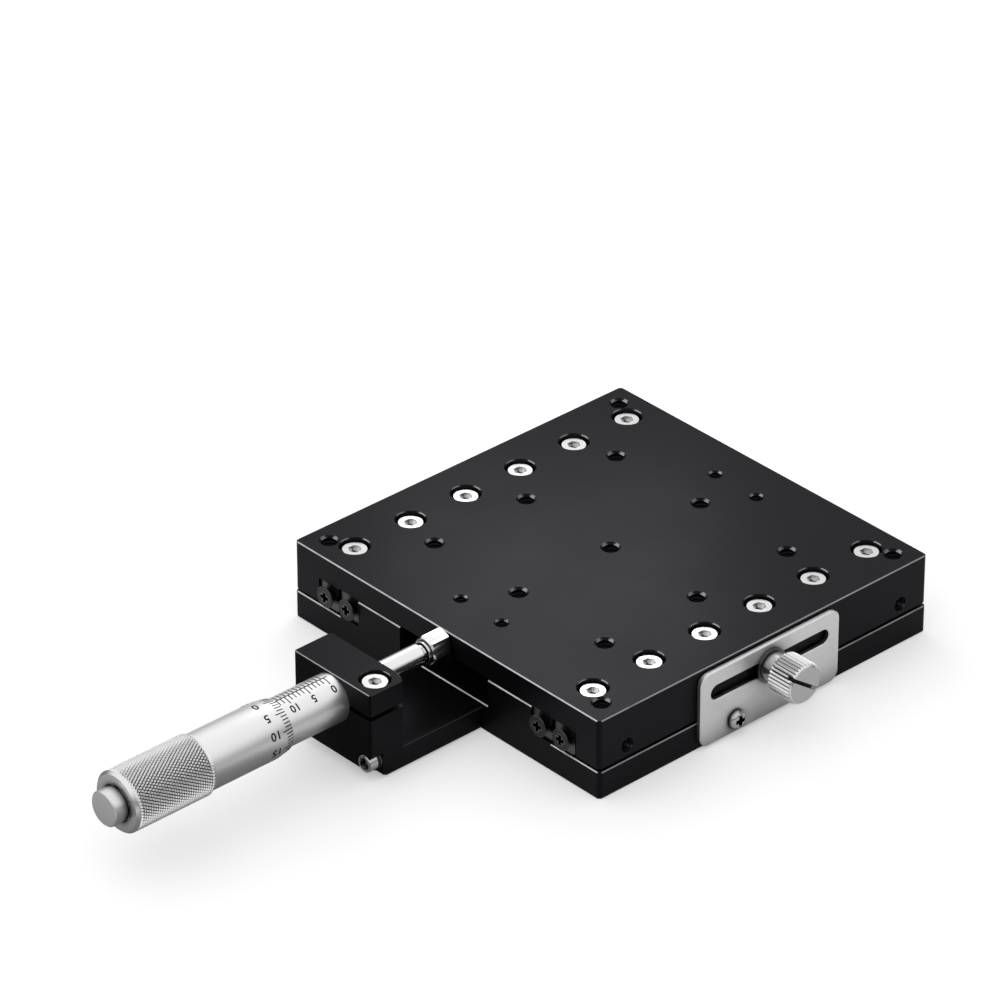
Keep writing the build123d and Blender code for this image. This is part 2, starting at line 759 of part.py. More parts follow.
# Anvil: a hexagon with a turned collar and a nose that meets the spindle
with BuildPart() as hex_anvil:
    with BuildSketch(Plane(origin=(table_end, 0, axis_z), x_dir=(0, 0, 1), z_dir=(-1, 0, 0))):
        RegularPolygon(hex_width / 2, 6, major_radius=False, rotation=hex_turn)
    extrude(amount=hex_length)
    chamfer(faces().sort_by(Axis.X)[0].edges(), hex_edge)
    with Locations(Plane(origin=(table_end - hex_length, 0, axis_z), z_dir=(-1, 0, 0))):
        Cylinder(anvil_collar_radius, anvil_collar, align=(Align.CENTER, Align.CENTER, Align.MIN))
    with Locations(Plane(origin=(anvil_face, 0, axis_z), z_dir=(1, 0, 0))):
        Cylinder(anvil_nose_radius, anvil_nose, align=(Align.CENTER, Align.CENTER, Align.MIN))
    with Locations(Plane(origin=(table_end, 0, axis_z), z_dir=(1, 0, 0))):
        Cylinder(m3_radius, anvil_shank, align=(Align.CENTER, Align.CENTER, Align.MIN))
finish(hex_anvil, "hex_anvil")


# Lock plate: slotted plate on the base's side, beside the table's wall
with BuildPart() as lock_plate:
    with BuildSketch(Plane.XZ.offset(side_face)):
        with Locations((0, plate_bottom + plate_height / 2)):
            RectangleRounded(plate_length, plate_height, plate_radius)
        with Locations((0, slot_z)):
            SlotOverall(slot_length, slot_width, mode=Mode.SUBTRACT)
    extrude(amount=plate_thickness)
    chamfer(edges().group_by(Axis.Y)[0], plate_edge)
    with BuildSketch(Plane.XZ.offset(side_face)):
        with Locations((-plate_screw_x, plate_screw_height), (plate_screw_x, plate_screw_height)):
            Circle(m2_radius + thread_clearance)
    extrude(amount=plate_thickness, mode=Mode.SUBTRACT)
finish(lock_plate, "lock_plate")

with BuildPart() as pan_screw:
    Cylinder(m2_radius, plate_screw_length, align=(Align.CENTER, Align.CENTER, Align.MAX))
    Cylinder(pan_head_radius, pan_head_height, align=(Align.CENTER, Align.CENTER, Align.MIN))
    fillet(pan_screw.edges().group_by(Axis.Z)[-1], pan_head_round)
    with BuildSketch(Plane.XY.offset(pan_head_height)):
        cross_recess(cross_width, cross_span)
    extrude(amount=-pan_head_height / 2, mode=Mode.SUBTRACT)

with BuildPart() as lock_plate_screws:
    with Locations(*[Plane(origin=(x, -plate_face, plate_screw_height), z_dir=(0, -1, 0))
                     for x in (-plate_screw_x, plate_screw_x)]):
        add(pan_screw.part)
finish(lock_plate_screws, "lock_plate_screws")

with BuildPart() as lock_washer:
    with BuildSketch(Plane.XZ.offset(washer_back)):
        with Locations((0, slot_z)):
            Circle(washer_radius)
            Circle(m3_radius + thread_clearance, mode=Mode.SUBTRACT)
    extrude(amount=washer_thickness)
finish(lock_washer, "lock_washer")

# Thumb screw: shank in the table's wall, plain neck and a ribbed head with a driver slot
with BuildPart() as lock_screw:
    neck_back = washer_back + washer_thickness
    head_back = neck_back + neck_length
    head_face = head_back + head_length
    shank_end = table_width / 2 - lock_screw_grip
    with BuildSketch(Plane.XZ.offset(shank_end)):
        with Locations((0, slot_z)):
            Circle(m3_radius)
    extrude(amount=neck_back - shank_end)
    with BuildSketch(Plane.XZ.offset(neck_back)):
        with Locations((0, slot_z)):
            Circle(neck_radius)
    extrude(amount=neck_length)
    with BuildSketch(Plane.XZ.offset(head_back)):
        with Locations((0, slot_z)):
            Circle(head_radius)
    extrude(amount=head_length)
    chamfer(faces().sort_by(Axis.Y)[0].edges(), head_chamfer)
    with BuildSketch(Plane.XZ.offset(head_back)):
        with Locations((0, slot_z)):
            with PolarLocations(head_radius, rib_count):
                Rectangle(2 * rib_depth, 2 * rib_depth, rotation=45)
    extrude(amount=head_length, mode=Mode.SUBTRACT)
    with BuildSketch(Plane.XZ.offset(head_face)):
        with Locations((0, slot_z)):
            Rectangle(3 * head_radius, driver_slot_width, rotation=-driver_slot_angle)
    extrude(amount=-driver_slot_depth, mode=Mode.SUBTRACT)
finish(lock_screw, "lock_screw")
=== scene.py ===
from math import cos, pi, radians, sin

import bmesh
import bpy
from mathutils import Matrix, Vector


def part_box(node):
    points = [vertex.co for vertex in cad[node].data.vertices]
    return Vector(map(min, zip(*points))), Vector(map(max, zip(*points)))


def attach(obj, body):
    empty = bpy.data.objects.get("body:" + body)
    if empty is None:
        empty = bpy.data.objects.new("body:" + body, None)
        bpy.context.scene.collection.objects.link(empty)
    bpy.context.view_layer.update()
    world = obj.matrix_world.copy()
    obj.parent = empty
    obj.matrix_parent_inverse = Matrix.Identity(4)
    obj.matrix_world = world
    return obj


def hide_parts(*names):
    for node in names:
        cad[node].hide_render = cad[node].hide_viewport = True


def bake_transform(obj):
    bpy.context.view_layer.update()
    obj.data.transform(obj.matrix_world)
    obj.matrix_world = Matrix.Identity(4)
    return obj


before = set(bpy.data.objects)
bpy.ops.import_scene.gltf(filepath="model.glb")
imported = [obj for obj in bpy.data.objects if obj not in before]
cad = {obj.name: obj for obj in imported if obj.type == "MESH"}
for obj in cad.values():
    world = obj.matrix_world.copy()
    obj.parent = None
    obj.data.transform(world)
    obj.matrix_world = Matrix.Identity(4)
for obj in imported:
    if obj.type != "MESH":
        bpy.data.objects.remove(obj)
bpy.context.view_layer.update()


# Studio
# A white table under a bright tent with a dim horizon, and one small softbox
# behind the stage, as in a catalogue picture: the floor reads white, and metal
# shows a bright upper half, a dark band and the white table below.

mm = 0.001
scene = bpy.context.scene
scene.view_settings.view_transform = "Standard"
scene.view_settings.look = "None"

camera_data = bpy.data.cameras.new("camera")
camera_data.sensor_width = 36
camera_data.lens = 224.64
camera_data.clip_start = 0.05
camera = bpy.data.objects.new("camera", camera_data)
scene.collection.objects.link(camera)
camera.location = (-0.7298, -0.7697, 0.6818)
heading = Matrix.Rotation(radians(-42.28), 3, "Z")
tilt = Matrix.Rotation(radians(58.39), 3, "X")
roll = Matrix.Rotation(radians(-0.08), 3, "Z")
camera.rotation_euler = (heading @ tilt @ roll).to_euler()
scene.camera = camera

floor_half = 3.0
floor_drop = 0.05 * mm
floor_corners = [(-1, -1), (1, -1), (1, 1), (-1, 1)]
floor_mesh = bpy.data.meshes.new("studio_floor")
floor_mesh.from_pydata([(floor_half * x, floor_half * y, -floor_drop) for x, y in floor_corners],
                       [], [(0, 1, 2, 3)])
studio_floor = bpy.data.objects.new("studio_floor", floor_mesh)
scene.collection.objects.link(studio_floor)


def feed(tree, socket, value):
    """Links a socket, or sets it where value is a plain number, vector or colour."""
    if isinstance(value, bpy.types.NodeSocket):
        tree.links.new(value, socket)
    else:
        socket.default_value = (*value, 1) if socket.type == "RGBA" else value


def fill_in(tree, node, **values):
    """Feeds a node's inputs by their names, written with _ for a space."""
    for label, value in values.items():
        feed(tree, node.inputs[label.replace("_", " ")], value)


def new_material(name, shader_type="ShaderNodeBsdfPrincipled"):
    """A node material with one shader on its output."""
    material = bpy.data.materials.new(name)
    material.use_nodes = True
    tree = material.node_tree
    tree.nodes.clear()
    shader = tree.nodes.new(shader_type)
    output = tree.nodes.new("ShaderNodeOutputMaterial")
    feed(tree, output.inputs["Surface"], shader.outputs[0])
    return material, tree, shader


floor_paint, tree, lit_paper = new_material("studio_floor_paint", "ShaderNodeAddShader")
paper = tree.nodes.new("ShaderNodeBsdfDiffuse")
glow = tree.nodes.new("ShaderNodeEmission")
feed(tree, lit_paper.inputs[0], paper.outputs[0])
feed(tree, lit_paper.inputs[1], glow.outputs[0])
floor_mesh.materials.append(floor_paint)


def surface_point(tree):
    """The point on the surface, in metres from the middle of the base's underside."""
    return tree.nodes.new("ShaderNodeTexCoord").outputs["Object"]


def vector_node(tree, operation, first, second=None):
    """A Vector Math node's output: a value for a length or a dot product, and else a vector."""
    node = tree.nodes.new("ShaderNodeVectorMath")
    node.operation = operation
    feed(tree, node.inputs[0], first)
    if second is not None:
        feed(tree, node.inputs["Scale" if operation == "SCALE" else 1], second)
    return node.outputs["Value" if operation in ("LENGTH", "DOT_PRODUCT") else "Vector"]


def range_node(tree, value, before, after, smooth=False):
    """A Map Range node's output, which takes value from the range before to the range after."""
    node = tree.nodes.new("ShaderNodeMapRange")
    if smooth:
        node.interpolation_type = "SMOOTHSTEP"
    fill_in(tree, node, Value=value, From_Min=before[0], From_Max=before[1], To_Min=after[0], To_Max=after[1])
    return node.outputs[0]


# What metal mirrors of the table is dimmer far off, and darker under the barrel, where shade is painted
# into the paper as a grey band across it. The camera sees white paper, a little overexposed.
paper_white, paper_far, paper_glow = 0.86, 0.20, 0.36
painted_shade_grey = 0.28
point = surface_point(tree)
dimmed = range_node(tree, vector_node(tree, "LENGTH", point), (0.13, 0.34), (paper_white, paper_far))


def split(tree, vector):
    """A vector's outputs X, Y and Z."""
    node = tree.nodes.new("ShaderNodeSeparateXYZ")
    feed(tree, node.inputs[0], vector)
    return node.outputs


def math_node(tree, operation, *values, clamp=False):
    """A Math node's output."""
    node = tree.nodes.new("ShaderNodeMath")
    node.operation = operation
    node.use_clamp = clamp
    for socket, value in zip(node.inputs, values):
        feed(tree, socket, value)
    return node.outputs[0]


def mix_value(tree, factor, first, second):
    """A value that runs from first to second with factor."""
    node = tree.nodes.new("ShaderNodeMix")
    fill_in(tree, node, Factor=factor, A=first, B=second)
    return node.outputs[0]


along = split(tree, point)["X"]
# Painted shade: the paper that metal mirrors turns grey in a band under the barrel.
shade_near_end = range_node(tree, along, (-0.081, -0.063), (painted_shade_grey, 1.0))
shade_far_end = range_node(tree, along, (-0.138, -0.168), (painted_shade_grey, 1.0))
painted_shade_band = math_node(tree, "MAXIMUM", shade_near_end, shade_far_end)
mirrored_paper = math_node(tree, "MULTIPLY", dimmed, painted_shade_band)
seen = tree.nodes.new("ShaderNodeLightPath").outputs["Is Camera Ray"]
fill_in(tree, paper, Color=mix_value(tree, seen, mirrored_paper, paper_white))
fill_in(tree, glow, Strength=math_node(tree, "MULTIPLY", seen, paper_glow))

# The tent lights the stage more from the camera's left, and metal mirrors it evenly.
brighter_side = (-0.688, 0.726, 0.0)
world = bpy.data.worlds.new("studio_tent")
scene.world = world
world.use_nodes = True
tree = world.node_tree
tree.nodes.clear()
tent = tree.nodes.new("ShaderNodeBackground")
output = tree.nodes.new("ShaderNodeOutputWorld")
feed(tree, output.inputs["Surface"], tent.outputs[0])
direction = tree.nodes.new("ShaderNodeTexCoord").outputs["Generated"]
height = split(tree, direction)["Z"]
lighting = range_node(tree, height, (0.05, 0.36), (0.30, 1.06), smooth=True)
mirrored = range_node(tree, height, (-0.05, 0.50), (0.11, 1.12), smooth=True)
sideways = vector_node(tree, "DOT_PRODUCT", direction, brighter_side)
one_sided = math_node(tree, "MULTIPLY", lighting, range_node(tree, sideways, (-1.0, 1.0), (0.72, 1.25)))
in_metal = tree.nodes.new("ShaderNodeLightPath").outputs["Is Glossy Ray"]
fill_in(tree, tent, Strength=mix_value(tree, in_metal, one_sided, mirrored))

softbox_place = Vector((0.0511, 0.0715, 0.0986))
softbox_target = Vector((-0.030, -0.014, 0.023))
softbox_light = bpy.data.lights.new("back_softbox", "AREA")
softbox_light.shape = "SQUARE"
softbox_light.size = 0.07
softbox_light.energy = 0.026
softbox = bpy.data.objects.new("back_softbox", softbox_light)
scene.collection.objects.link(softbox)
softbox.location = softbox_place
softbox.visible_camera = False
softbox.rotation_euler = (softbox_target - softbox_place).to_track_quat("-Z", "Y").to_euler()


# Base plate
# The lower plate with its two ridges and rail seats, which carries all the rest.
# Milled aluminium, bead blasted and black anodised; the chamfers that are handled are
# bright, partly rubbed wear and partly a painted highlight where they face the lamps.

def shader_group(name, inputs, outputs):
    """A node group with its named sockets, the outputs of its input node, and its output node."""
    group = bpy.data.node_groups.new(name, "ShaderNodeTree")
    for label, value in inputs.items():
        kind = "NodeSocketVector" if isinstance(value, tuple) else "NodeSocketFloat"
        group.interface.new_socket(label, in_out="INPUT", socket_type=kind).default_value = value
    for label in outputs:
        kind = "NodeSocketVector" if label == "Normal" else "NodeSocketFloat"
        group.interface.new_socket(label, in_out="OUTPUT", socket_type=kind)
    return group, group.nodes.new("NodeGroupInput").outputs, group.nodes.new("NodeGroupOutput")


def noise_node(tree, place, scale, detail=3.0, dimensions="3D"):
    """A Noise texture's value at a point, or at a distance along a line where it is 1D."""
    node = tree.nodes.new("ShaderNodeTexNoise")
    node.noise_dimensions = dimensions
    feed(tree, node.inputs["W" if dimensions == "1D" else "Vector"], place)
    fill_in(tree, node, Scale=scale, Detail=detail)
    return node.outputs[0]


def bump_node(tree, height, distance):
    """A Bump node's normal, for a distance in metres."""
    node = tree.nodes.new("ShaderNodeBump")
    fill_in(tree, node, Height=height, Distance=distance)
    return node.outputs[0]


def make_blasted_film():
    """Bead-blasted grain: a fine bump, and soft patches where the film is duller."""
    group, given, made = shader_group("blasted film", {"Grain per metre": 5200.0, "Depth": 4e-6},
                                      ["Normal", "Grain", "Patches"])
    point = surface_point(group)
    grain = noise_node(group, point, given["Grain per metre"], 2.0)
    fill_in(group, made, Normal=bump_node(group, grain, given["Depth"]), Grain=grain,
            Patches=noise_node(group, point, 55.0, 4.0))
    return group


def make_bright_chamfers():
    """A mask that is 1 on the chamfers round the upper edges: partly rubbed wear, partly a painted highlight.
    """
    chamfer_z = 0.707
    outer_edge_from = 43.5 * mm
    group, given, made = shader_group("bright chamfers", {"Ends": 0.9, "Sides": 0.4, "Hole rims": 1.0},
                                      ["Mask"])
    facing = split(group, group.nodes.new("ShaderNodeNewGeometry").outputs["True Normal"])
    off_slope = math_node(group, "ABSOLUTE", math_node(group, "SUBTRACT", facing["Z"], chamfer_z))
    # 1 on a slope of about half a right angle, and 0 well off it.
    slope = math_node(group, "MULTIPLY_ADD", off_slope, -8.0, 2.2, clamp=True)
    to_end = math_node(group, "MULTIPLY", facing["X"], facing["X"])
    to_side = math_node(group, "MULTIPLY", facing["Y"], facing["Y"])
    difference = math_node(group, "ABSOLUTE", math_node(group, "SUBTRACT", to_end, to_side))
    # 1 where the slope runs down towards an end or a side, and 0 between the two.
    square_on = math_node(group, "MULTIPLY_ADD", difference, 10.0, -3.6, clamp=True)
    ends = math_node(group, "MULTIPLY", to_end, given["Ends"])
    both = math_node(group, "MULTIPLY_ADD", to_side, given["Sides"], ends)
    point = surface_point(group)
    wear_and_sheen = math_node(group, "MULTIPLY_ADD", noise_node(group, point, 260.0, 4.0), 1.3, 0.35, clamp=True)
    # Painted highlight with rubbed wear: upward chamfers square to an end or a side turn bright, ends more
    # than sides, and the noise breaks it up as wear.
    worn_and_lit = math_node(group, "MULTIPLY", math_node(group, "MULTIPLY", slope, square_on), wear_and_sheen)
    spot = split(group, point)
    outward = math_node(group, "MAXIMUM", math_node(group, "ABSOLUTE", spot["X"]),
                        math_node(group, "ABSOLUTE", spot["Y"]))
    outer_edge = math_node(group, "GREATER_THAN", outward, outer_edge_from)
    rim = math_node(group, "MAXIMUM", outer_edge, given["Hole rims"])
    strength = math_node(group, "MULTIPLY", math_node(group, "MULTIPLY", both, 2.0, clamp=True), rim)
    fill_in(group, made, Mask=math_node(group, "MULTIPLY", worn_and_lit, strength, clamp=True))
    return group


blasted_film = make_blasted_film()
chamfer_wear_and_highlight = make_bright_chamfers()


def use_group(tree, group, **values):
    """The outputs of a node group that is placed in a material with its own values."""
    node = tree.nodes.new("ShaderNodeGroup")
    node.node_tree = group
    fill_in(tree, node, **values)
    return node.outputs


def mix_colour(tree, factor, first, second):
    """A colour that runs from first to second with factor."""
    node = tree.nodes.new("ShaderNodeMix")
    node.data_type = "RGBA"
    for socket, value in ((node.inputs[0], factor), (node.inputs[6], first), (node.inputs[7], second)):
        feed(tree, socket, value)
    return node.outputs[2]


def shade(colour, share):
    """A colour made darker or lighter, up to white."""
    return tuple(min(1.0, share * part) for part in colour)


# The chamfers' colour: bare rubbed aluminium, and partly a painted highlight.
highlit_rubbed_aluminium = (0.67, 0.67, 0.68)


def black_anodised(name, colour, roughness, ends_wear_and_highlight, sides_wear_and_highlight, hole_rims=1.0):
    """Black anodised aluminium: blasted film, bright on its upper chamfers with rubbed wear and a painted
    highlight.
    """
    material, tree, shader = new_material(name)
    film = use_group(tree, blasted_film)
    wear_and_sheen = use_group(tree, chamfer_wear_and_highlight, Ends=ends_wear_and_highlight, Sides=sides_wear_and_highlight, Hole_rims=hole_rims)["Mask"]
    body = mix_colour(tree, film["Patches"], shade(colour, 0.75), shade(colour, 1.25))
    dull = math_node(tree, "MULTIPLY_ADD", film["Patches"], 0.14, roughness - 0.07)
    fill_in(tree, shader, Base_Color=mix_colour(tree, wear_and_sheen, body, highlit_rubbed_aluminium), Metallic=wear_and_sheen,
            Roughness=math_node(tree, "MULTIPLY_ADD", film["Grain"], 0.06, dull), Normal=film["Normal"],
            Specular_IOR_Level=0.12, Specular_Tint=(0.82, 0.80, 1.0))
    return material


def dress(node_name, material):
    """Gives a CAD node its finish."""
    mesh = cad[node_name].data
    mesh.materials.clear()
    mesh.materials.append(material)


dress("base_plate", black_anodised("base_black_anodised", (0.0028, 0.0028, 0.0033), 0.38, 1.0, 0.4))


# Inner rails
# The two V rails on the base's seats, of hardened and ground tool steel, each
# held from below by six cap screws. The cross-recess screws in their ends keep
# the cages in.

def make_ground_lines():
    """Straight grinding lines: noise drawn out along one axis."""
    group, given, made = shader_group(
        "ground lines", {"Lines per metre": (60.0, 9000.0, 9000.0), "Depth": 2e-6},
        ["Normal", "Lines", "Patches"])
    point = surface_point(group)
    lines = noise_node(group, vector_node(group, "MULTIPLY", point, given["Lines per metre"]), 1.0)
    fill_in(group, made, Normal=bump_node(group, lines, given["Depth"]), Lines=lines,
            Patches=noise_node(group, point, 120.0))
    return group


def occlusion(tree, distance, inside=False, own_surface_only=True):
    """How open a point is within a distance, or, inside, how far it is from the piece's edges."""
    node = tree.nodes.new("ShaderNodeAmbientOcclusion")
    node.inside = inside
    node.only_local = own_surface_only
    node.samples = 8
    fill_in(tree, node, Distance=distance)
    return node.outputs["AO"]


def make_dark_recesses(name, own_surface_only):
    """A mask that is 1 deep in sockets, slots and joints: painted shade where little light reaches."""
    group, given, made = shader_group(name, {"Reach": 1.0 * mm, "Contrast": 1.9, "Half dark at": 0.63},
                                      ["Mask"])
    openness = occlusion(group, given["Reach"], own_surface_only=own_surface_only)
    shut = math_node(group, "SUBTRACT", given["Half dark at"], openness)
    fill_in(group, made, Mask=math_node(group, "MULTIPLY_ADD", shut, given["Contrast"], 0.5, clamp=True))
    return group


def make_rubbed_edges():
    """A mask that is 1 along outside edges, for a painted highlight on their rims."""
    group, given, made = shader_group("edge highlight", {"Width": 0.12 * mm}, ["Mask"])
    depth = occlusion(group, given["Width"], inside=True)
    fill_in(group, made, Mask=math_node(group, "MULTIPLY_ADD", depth, -3.0, 2.6, clamp=True))
    return group


ground_lines = make_ground_lines()
dark_recesses = make_dark_recesses("dark recesses", True)
dark_joints = make_dark_recesses("dark joints", False)
edge_highlight = make_rubbed_edges()
# Painted shade: the near black that recesses and joints are darkened towards.
painted_shade_black = (0.02, 0.02, 0.02)


def ground_metal(name, colour, roughness, lines_per_metre, depth=2e-6, joint_reach=0.0):
    """Bare metal with straight grinding or rolling lines, and painted shade in joints where it has a reach
    for them.
    """
    material, tree, shader = new_material(name)
    grain = use_group(tree, ground_lines, Lines_per_metre=lines_per_metre, Depth=depth)
    tone = mix_colour(tree, grain["Lines"], shade(colour, 0.92), shade(colour, 1.06))
    if joint_reach:
        joints = use_group(tree, dark_joints, Reach=joint_reach, Half_dark_at=0.55)
        tone = mix_colour(tree, joints["Mask"], tone, painted_shade_black)
    dull = math_node(tree, "MULTIPLY_ADD", grain["Patches"], 0.10, roughness - 0.05)
    fill_in(tree, shader, Base_Color=tone, Metallic=1.0, Normal=grain["Normal"],
            Roughness=math_node(tree, "MULTIPLY_ADD", grain["Lines"], 0.08, dull))
    return material


def black_oxide(name, colour, roughness):
    """Oiled black oxide on steel, with a painted highlight grey along its edges and painted shade black in
    its recesses.
    """
    material, tree, shader = new_material(name)
    film = use_group(tree, blasted_film, Depth=2e-6)
    recess = use_group(tree, dark_recesses, Reach=0.8 * mm)
    edges = use_group(tree, edge_highlight, Width=0.24 * mm)
    body = mix_colour(tree, film["Patches"], shade(colour, 0.6), shade(colour, 1.4))
    # Painted highlight along the outside edges.
    body = mix_colour(tree, edges["Mask"], body, (0.36, 0.36, 0.36))
    # Painted shade in the recesses.
    body = mix_colour(tree, recess["Mask"], body, (0.004, 0.004, 0.004))
    fill_in(tree, shader, Base_Color=body, Metallic=1.0, Normal=film["Normal"],
            Roughness=math_node(tree, "MULTIPLY_ADD", film["Grain"], 0.15, roughness - 0.07))
    return material


rail_steel = ground_metal("rail_ground_steel", (0.13, 0.13, 0.135), 0.30, (70.0, 9000.0, 9000.0))
screw_oxide = black_oxide("black_oxide_screw", (0.052, 0.050, 0.048), 0.30)
dress("inner_rail_left", rail_steel)
dress("inner_rail_right", rail_steel)
dress("inner_rail_end_screws", screw_oxide)


# Base screws
# Twelve socket cap screws that pull the inner rails down from the underside.
# Nickel plated steel, bright, with the fine turning lines of their heads.

def make_turned_lines():
    """Lathe lines round an axis: noise on the distance along it plus the radius."""
    group, given, made = shader_group(
        "turned lines", {"Axis": (1.0, 0.0, 0.0), "Centre": (0.0, 0.0, 0.0), "Lines per metre": 7000.0,
                         "Depth": 1.2e-6}, ["Normal", "Lines", "Patches"])
    point = surface_point(group)
    local = vector_node(group, "SUBTRACT", point, given["Centre"])
    along = vector_node(group, "DOT_PRODUCT", local, given["Axis"])
    across = vector_node(group, "SUBTRACT", local, vector_node(group, "SCALE", given["Axis"], along))
    distance = math_node(group, "ADD", along, vector_node(group, "LENGTH", across))
    turns = math_node(group, "MULTIPLY", distance, given["Lines per metre"])
    lines = noise_node(group, turns, 1.0, 2.0, "1D")
    fill_in(group, made, Normal=bump_node(group, lines, given["Depth"]), Lines=lines,
            Patches=noise_node(group, point, 140.0))
    return group


turned_lines = make_turned_lines()


def turned_metal(name, colour, roughness, axis=(1.0, 0.0, 0.0), centre=(0.0, 0.0, 0.0), depth=1.2e-6,
                 recess_reach=0.0, joint_reach=0.0, contrast=1.9, half_dark=0.63):
    """Metal with the fine lines of turning round its axis, and painted shade in recesses and joints."""
    material, tree, shader = new_material(name)
    lathe = use_group(tree, turned_lines, Axis=axis, Centre=centre, Depth=depth)
    tone = mix_colour(tree, lathe["Lines"], shade(colour, 0.94), shade(colour, 1.04))
    for group, reach in ((dark_recesses, recess_reach), (dark_joints, joint_reach)):
        if reach:
            hidden = use_group(tree, group, Reach=reach, Contrast=contrast, Half_dark_at=half_dark)
            tone = mix_colour(tree, hidden["Mask"], tone, painted_shade_black)
    dull = math_node(tree, "MULTIPLY_ADD", lathe["Patches"], 0.08, roughness - 0.05)
    fill_in(tree, shader, Base_Color=tone, Metallic=1.0, Normal=lathe["Normal"],
            Roughness=math_node(tree, "MULTIPLY_ADD", lathe["Lines"], 0.05, dull))
    return material


upright = (0.0, 0.0, 1.0)
# Painted shade blackens the sockets of the heads.
screw_nickel = turned_metal("bright_nickel_screw", (0.80, 0.80, 0.80), 0.20, upright,
                            recess_reach=0.8 * mm, contrast=5.0, half_dark=0.56)
dress("base_rail_screws", screw_nickel)


# Cages and rollers
# A stamped brass strip in each way with crossed hardened rollers in its windows,
# every second one turned by a right angle. They run at half the table's speed.

cage_brass = ground_metal("cage_stamped_brass", (0.62, 0.44, 0.17), 0.34, (400.0, 400.0, 6000.0))
roller_steel = turned_metal("roller_lapped_steel", (0.78, 0.78, 0.79), 0.12, depth=4e-7)
for hand in ("left", "right"):
    dress(f"cage_{hand}", cage_brass)
    dress(f"rollers_{hand}", roller_steel)


# Table
# The moving plate with its two side walls, milled from one piece and anodised as
# the base is. The threads of its tapped holes are cut before that, so they are as
# black.

dress("table_top", black_anodised("table_black_anodised", (0.0034, 0.0034, 0.0042), 0.32, 1.0, 0.5, 0.6))
thread_film = black_anodised("thread_black_anodised", (0.0030, 0.0030, 0.0034), 0.34, 0.0, 0.0)


def mesh_piece(name, vertices, faces, material, smooth=False):
    """A mesh object from points in metres, with outward faces."""
    mesh = bpy.data.meshes.new(name)
    mesh.from_pydata(vertices, [], faces)
    build = bmesh.new()
    build.from_mesh(mesh)
    bmesh.ops.recalc_face_normals(build, faces=build.faces)
    build.to_mesh(mesh)
    build.free()
    if smooth:
        mesh.shade_smooth()
    mesh.materials.append(material)
    piece = bpy.data.objects.new(name, mesh)
    scene.collection.objects.link(piece)
    return piece


def thread_ridge(mouth, axis, radius, pitch, length):
    """One helical ridge on the wall of a hole that opens at its mouth and runs against axis."""
    steps, run_out = 24, 6
    axis = Vector(axis).normalized()
    side = axis.orthogonal().normalized()
    other = axis.cross(side)
    crest = radius - 0.3 * pitch
    wall = radius + 0.02 * mm
    half = 0.42 * pitch
    count = int(length / pitch * steps)
    vertices, faces = [], []
    for i in range(count + 1):
        angle = 2 * pi * i / steps
        depth = pitch * i / steps + half
        fade = min(1.0, i / run_out, (count - i) / run_out)
        for r, shift in ((wall, -half), (wall + (crest - wall) * fade, 0.0), (wall, half)):
            vertices.append(Vector(mouth) - axis * (depth + shift)
                            + (side * cos(angle) + other * sin(angle)) * r)
    for i in range(count):
        a, b = 3 * i, 3 * i + 3
        for j in range(3):
            k = (j + 1) % 3
            faces.append((a + j, a + k, b + k, b + j))
    faces.append((0, 1, 2))
    faces.append((3 * count + 2, 3 * count + 1, 3 * count))
    return vertices, faces


def joined(shapes):
    """Several shapes as one list of points and faces."""
    vertices, faces = [], []
    for points, polygons in shapes:
        start = len(vertices)
        vertices.extend(points)
        faces.extend(tuple(start + k for k in polygon) for polygon in polygons)
    return vertices, faces


table_low, table_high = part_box("table_top")
up, outward = (0, 0, 1), (0, -1, 0)
grid = [(x * mm, y * mm) for x in (-25, 0, 25) for y in (-25, 0, 25)]
corners = [(x * mm, y * mm) for x in (-40, 40) for y in (-40, 40)]
small = [(x * mm, y * mm) for x in (-35, 35) for y in (-6, 6)]

# Each kind's places, the depth where its thread starts, its radius, pitch and threaded length.
top_holes = [(grid, 0.35, 1.65, 0.7, 4.6), (corners, 0.35, 1.65, 0.7, 5.2), (small, 0.3, 1.25, 0.5, 4.8)]
top_ridges = [thread_ridge((x, y, table_high.z - start * mm), up, radius * mm, pitch * mm, length * mm)
              for places, start, radius, pitch, length in top_holes for x, y in places]
table_threads = mesh_piece("table_hole_threads", *joined(top_ridges), thread_film)
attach(table_threads, "table")

set_screw_x, set_screw_z = (-37.5, -12.5, 12.5, 37.5), 9.45 * mm
wall_ridges = [thread_ridge((x * mm, table_low.y + 0.1 * mm, set_screw_z), outward,
                            1.55 * mm, 0.5 * mm, 0.9 * mm) for x in set_screw_x]
wall_threads = mesh_piece("side_wall_threads", *joined(wall_ridges), thread_film)
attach(wall_threads, "table")


# Outer rails and their screws
# The rails under the table's side walls, the twelve bright socket cap screws that
# hold them from above, the black cross-recess screws in their ends, and the grub
# screws that press the near rail towards its rollers.

dress("outer_rail_left", rail_steel)
dress("outer_rail_right", rail_steel)
dress("table_rail_screws", screw_nickel)
dress("outer_rail_end_screws", screw_oxide)
dress("preload_set_screws", screw_oxide)


# Return springs
# Two extension springs of drawn wire under the table, hooked round turned posts.
# They keep the anvil against the spindle.

post_steel = turned_metal("post_turned_steel", (0.5, 0.5, 0.51), 0.28, upright)
dress("base_spring_posts", post_steel)
dress("table_spring_posts", post_steel)
spring_wire = ground_metal("spring_drawn_wire", (0.46, 0.46, 0.48), 0.26, (2500.0, 2500.0, 2500.0))


